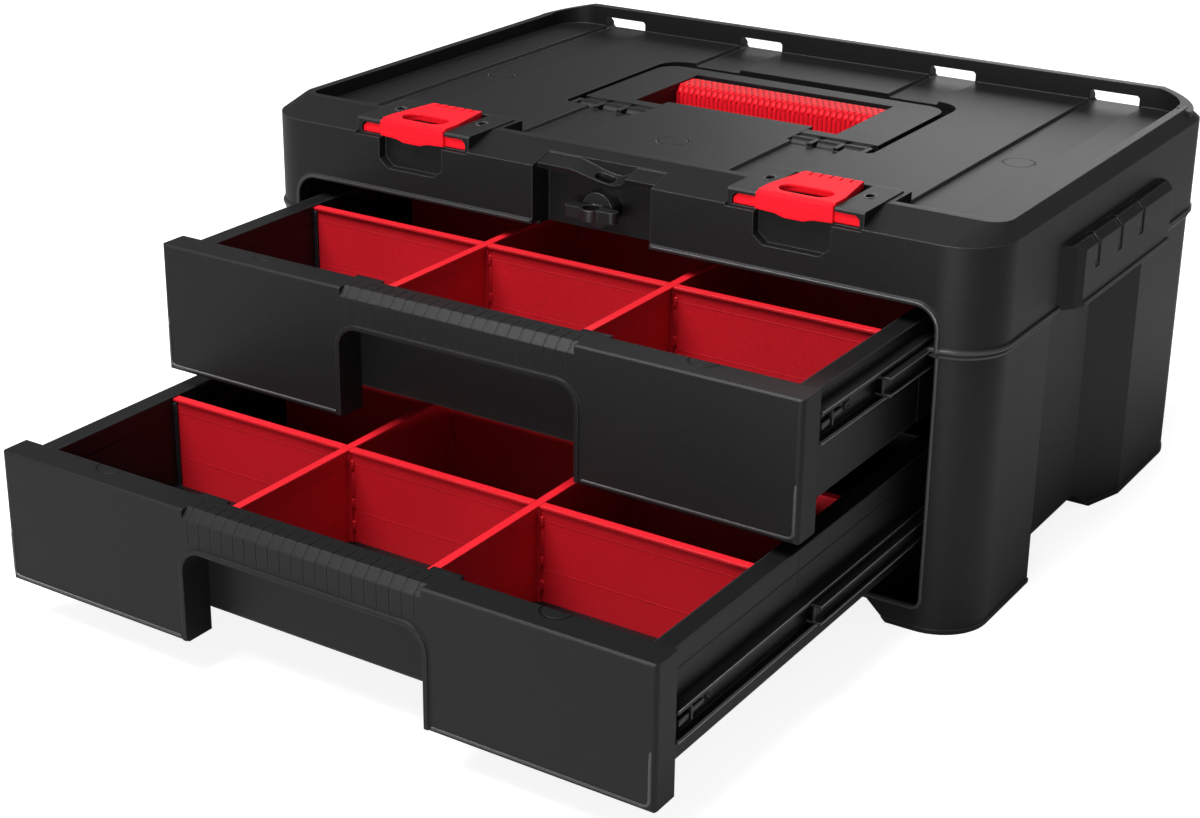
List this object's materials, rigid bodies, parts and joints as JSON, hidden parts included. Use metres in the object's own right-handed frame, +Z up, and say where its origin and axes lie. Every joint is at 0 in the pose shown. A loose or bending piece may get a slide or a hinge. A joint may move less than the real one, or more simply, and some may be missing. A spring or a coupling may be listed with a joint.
{
  "type": "portable tool box with drawers",
  "caption": "Portable stackable plastic tool box with ball-slide drawers pulled open, red lift-out dividers, folding carry handle, sliding stacking latches and a padlockable turn lock.",
  "frame": {"origin": "centre of the footprint of the box with its drawers pulled out as stored, on the floor under the feet", "axes": "+X to the right and +Y to the back as seen by someone facing the drawers, +Z up"},
  "size_m": [0.493, 0.5872, 0.2294],
  "materials": {
    "shell": "fine satin grain",
    "trim": "smooth satin",
    "red": "satin",
    "grip": "soft moulded grip",
    "slide": "black e-coat",
    "steel": "zinc plated"
  },
  "bodies": {
    "case": {"base": "shell", "cover": "shell", "seat_left": "trim", "seat_right": "trim", "handle_pin_left": "steel", "handle_pin_right": "steel", "upper_rail_left": "slide", "upper_rail_right": "slide", "lower_rail_left": "slide", "lower_rail_right": "slide"},
    "upper_drawer": {"upper_fascia": "shell", "upper_tray": "shell", "upper_divider_left": "red", "upper_divider_right": "red", "upper_panel_1": "red", "upper_panel_2": "red", "upper_panel_3": "red", "upper_panel_4": "red", "upper_panel_5": "red", "upper_panel_6": "red", "upper_runner_left": "slide", "upper_runner_right": "slide"},
    "upper_middle_left": {"upper_mid_left": "slide"},
    "upper_middle_right": {"upper_mid_right": "slide"},
    "upper_cages_a": {"upper_cage_a_left": "steel", "upper_cage_a_right": "steel"},
    "upper_cages_b": {"upper_cage_b_left": "steel", "upper_cage_b_right": "steel"},
    "lower_drawer": {"lower_fascia": "shell", "lower_tray": "shell", "lower_divider_left": "red", "lower_divider_right": "red", "lower_panel_1": "red", "lower_panel_2": "red", "lower_panel_3": "red", "lower_panel_4": "red", "lower_panel_5": "red", "lower_panel_6": "red", "lower_runner_left": "slide", "lower_runner_right": "slide"},
    "lower_middle_left": {"lower_mid_left": "slide"},
    "lower_middle_right": {"lower_mid_right": "slide"},
    "lower_cages_a": {"lower_cage_a_left": "steel", "lower_cage_a_right": "steel"},
    "lower_cages_b": {"lower_cage_b_left": "steel", "lower_cage_b_right": "steel"},
    "handle": {"handle_frame": "shell", "handle_grip": "grip"},
    "stack_latch_left": {"latch_left": "red"},
    "stack_latch_right": {"latch_right": "red"},
    "lock": {"lock_wing": "trim", "lock_cam": "steel"}
  },
  "joints": [
    {"name": "upper_drawer_slide", "type": "slide", "parent": "case", "child": "upper_drawer", "axis": [0, -1, 0], "range_m": [-0.1282, 0.1418]},
    {"name": "upper_middle_left_slide", "type": "slide", "parent": "case", "child": "upper_middle_left", "axis": [0, -1, 0], "range_m": [-0.0643, 0.0711]},
    {"name": "upper_middle_right_slide", "type": "slide", "parent": "case", "child": "upper_middle_right", "axis": [0, -1, 0], "range_m": [-0.0643, 0.0711]},
    {"name": "upper_cages_a_slide", "type": "slide", "parent": "case", "child": "upper_cages_a", "axis": [0, -1, 0], "range_m": [-0.03225, 0.03565]},
    {"name": "upper_cages_b_slide", "type": "slide", "parent": "case", "child": "upper_cages_b", "axis": [0, -1, 0], "range_m": [-0.09635, 0.10655]},
    {"name": "lower_drawer_slide", "type": "slide", "parent": "case", "child": "lower_drawer", "axis": [0, -1, 0], "range_m": [-0.2552, 0.0148]},
    {"name": "lower_middle_left_slide", "type": "slide", "parent": "case", "child": "lower_middle_left", "axis": [0, -1, 0], "range_m": [-0.1278, 0.0076]},
    {"name": "lower_middle_right_slide", "type": "slide", "parent": "case", "child": "lower_middle_right", "axis": [0, -1, 0], "range_m": [-0.1278, 0.0076]},
    {"name": "lower_cages_a_slide", "type": "slide", "parent": "case", "child": "lower_cages_a", "axis": [0, -1, 0], "range_m": [-0.064, 0.0039]},
    {"name": "lower_cages_b_slide", "type": "slide", "parent": "case", "child": "lower_cages_b", "axis": [0, -1, 0], "range_m": [-0.1916, 0.0113]},
    {"name": "handle_hinge", "type": "hinge", "parent": "case", "child": "handle", "pos_m": [0, 0.1046, 0.21], "axis": [1, 0, 0], "range_deg": [0, 95]},
    {"name": "latch_left_slide", "type": "slide", "parent": "case", "child": "stack_latch_left", "axis": [0, -1, 0], "range_m": [0, 0.008], "stiffness_N_per_m": 400, "springref_m": -0.002},
    {"name": "latch_right_slide", "type": "slide", "parent": "case", "child": "stack_latch_right", "axis": [0, -1, 0], "range_m": [0, 0.008], "stiffness_N_per_m": 400, "springref_m": -0.002},
    {"name": "lock_turn", "type": "hinge", "parent": "case", "child": "lock", "pos_m": [0, -0.0274, 0.1963], "axis": [0, 1, 0], "range_deg": [0, 90]}
  ],
  "couplings": [
    {"joint": "upper_middle_left_slide", "follows": "upper_drawer_slide", "ratio": 0.5},
    {"joint": "upper_middle_right_slide", "follows": "upper_drawer_slide", "ratio": 0.5},
    {"joint": "upper_cages_a_slide", "follows": "upper_drawer_slide", "ratio": 0.25},
    {"joint": "upper_cages_b_slide", "follows": "upper_drawer_slide", "ratio": 0.75},
    {"joint": "lower_middle_left_slide", "follows": "lower_drawer_slide", "ratio": 0.5},
    {"joint": "lower_middle_right_slide", "follows": "lower_drawer_slide", "ratio": 0.5},
    {"joint": "lower_cages_a_slide", "follows": "lower_drawer_slide", "ratio": 0.25},
    {"joint": "lower_cages_b_slide", "follows": "lower_drawer_slide", "ratio": 0.75}
  ]
}
